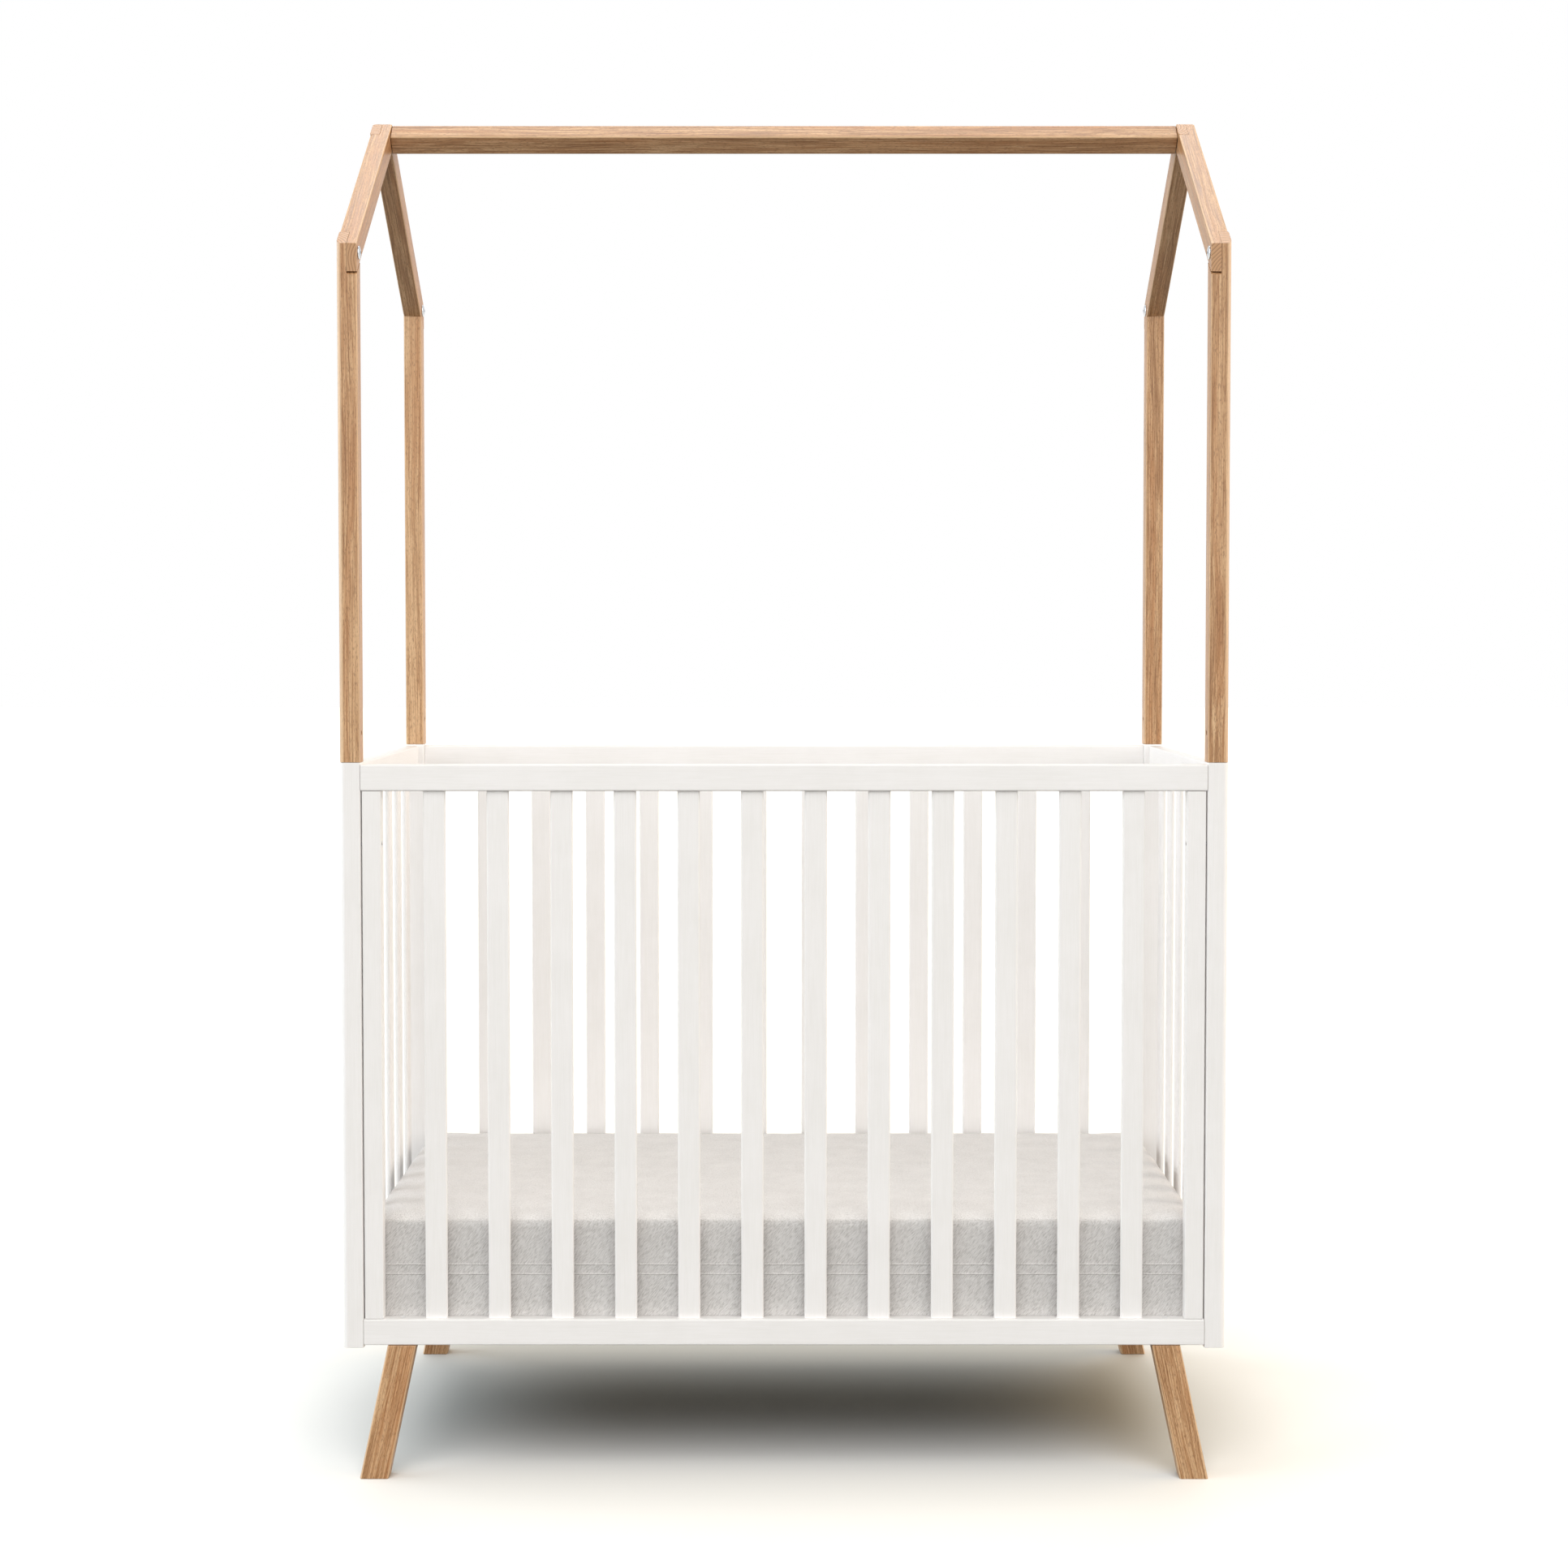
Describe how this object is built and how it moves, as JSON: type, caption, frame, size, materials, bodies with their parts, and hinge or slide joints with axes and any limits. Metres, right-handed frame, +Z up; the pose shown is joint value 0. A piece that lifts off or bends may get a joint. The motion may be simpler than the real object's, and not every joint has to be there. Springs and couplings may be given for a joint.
{
  "type": "house-frame baby crib",
  "caption": "Slatted baby crib with splayed legs and an open house-shaped canopy frame; the mattress lies on a slatted base and lifts out.",
  "frame": {"origin": "on the floor under the middle of the crib, at the centre of its outline", "axes": "+X along the crib to the viewer's right, -Y out of the front, +Z up"},
  "size_m": [1.264, 0.648, 1.9972],
  "materials": {
    "white_lacquer": "satin white lacquer",
    "oiled_beech": "clear matt oil",
    "plain_spruce": "planed, unfinished",
    "knit_cover": "heathered knit cover",
    "chrome": "polished",
    "zinc": "zinc plated"
  },
  "bodies": {
    "frame": {"corner_post_front_left": "white_lacquer", "corner_post_front_right": "white_lacquer", "corner_post_rear_left": "white_lacquer", "corner_post_rear_right": "white_lacquer", "canopy_post_front_left": "oiled_beech", "canopy_post_front_right": "oiled_beech", "canopy_post_rear_left": "oiled_beech", "canopy_post_rear_right": "oiled_beech", "rafter_front_left": "oiled_beech", "rafter_front_right": "oiled_beech", "rafter_rear_left": "oiled_beech", "rafter_rear_right": "oiled_beech", "ridge_beam": "oiled_beech", "stile_front_left": "white_lacquer", "stile_front_right": "white_lacquer", "stile_rear_left": "white_lacquer", "stile_rear_right": "white_lacquer", "front_slat_panel": "white_lacquer", "front_top_rail": "white_lacquer", "rear_slat_panel": "white_lacquer", "rear_top_rail": "white_lacquer", "left_slat_panel": "white_lacquer", "left_top_rail": "white_lacquer", "right_slat_panel": "white_lacquer", "right_top_rail": "white_lacquer", "leg_front_left": "oiled_beech", "leg_front_right": "oiled_beech", "leg_rear_left": "oiled_beech", "leg_rear_right": "oiled_beech", "ledger_front": "plain_spruce", "ledger_rear": "plain_spruce", "slatted_base": "plain_spruce", "eave_bolt_front_left": "chrome", "eave_bolt_front_right": "chrome", "eave_bolt_rear_left": "chrome", "eave_bolt_rear_right": "chrome", "eave_nut_front_left": "zinc", "eave_nut_front_right": "zinc", "eave_nut_rear_left": "zinc", "eave_nut_rear_right": "zinc", "connector_nut_front_left": "zinc", "connector_nut_front_right": "zinc", "connector_nut_rear_left": "zinc", "connector_nut_rear_right": "zinc", "connector_rod_front_left": "zinc", "connector_rod_front_right": "zinc", "connector_rod_rear_left": "zinc", "connector_rod_rear_right": "zinc", "leg_bolt_front_left": "chrome", "leg_bolt_front_right": "chrome", "leg_bolt_rear_left": "chrome", "leg_bolt_rear_right": "chrome", "stile_bolt_front_left": "chrome", "stile_bolt_front_right": "chrome", "stile_bolt_rear_left": "chrome", "stile_bolt_rear_right": "chrome", "ridge_bolt_left": "chrome", "ridge_bolt_right": "chrome"},
    "mattress": {"mattress": "knit_cover"}
  },
  "joints": [
    {"name": "mattress_lift", "type": "slide", "parent": "frame", "child": "mattress", "axis": [0, 0, 1], "range_m": [0, 0.8]}
  ]
}
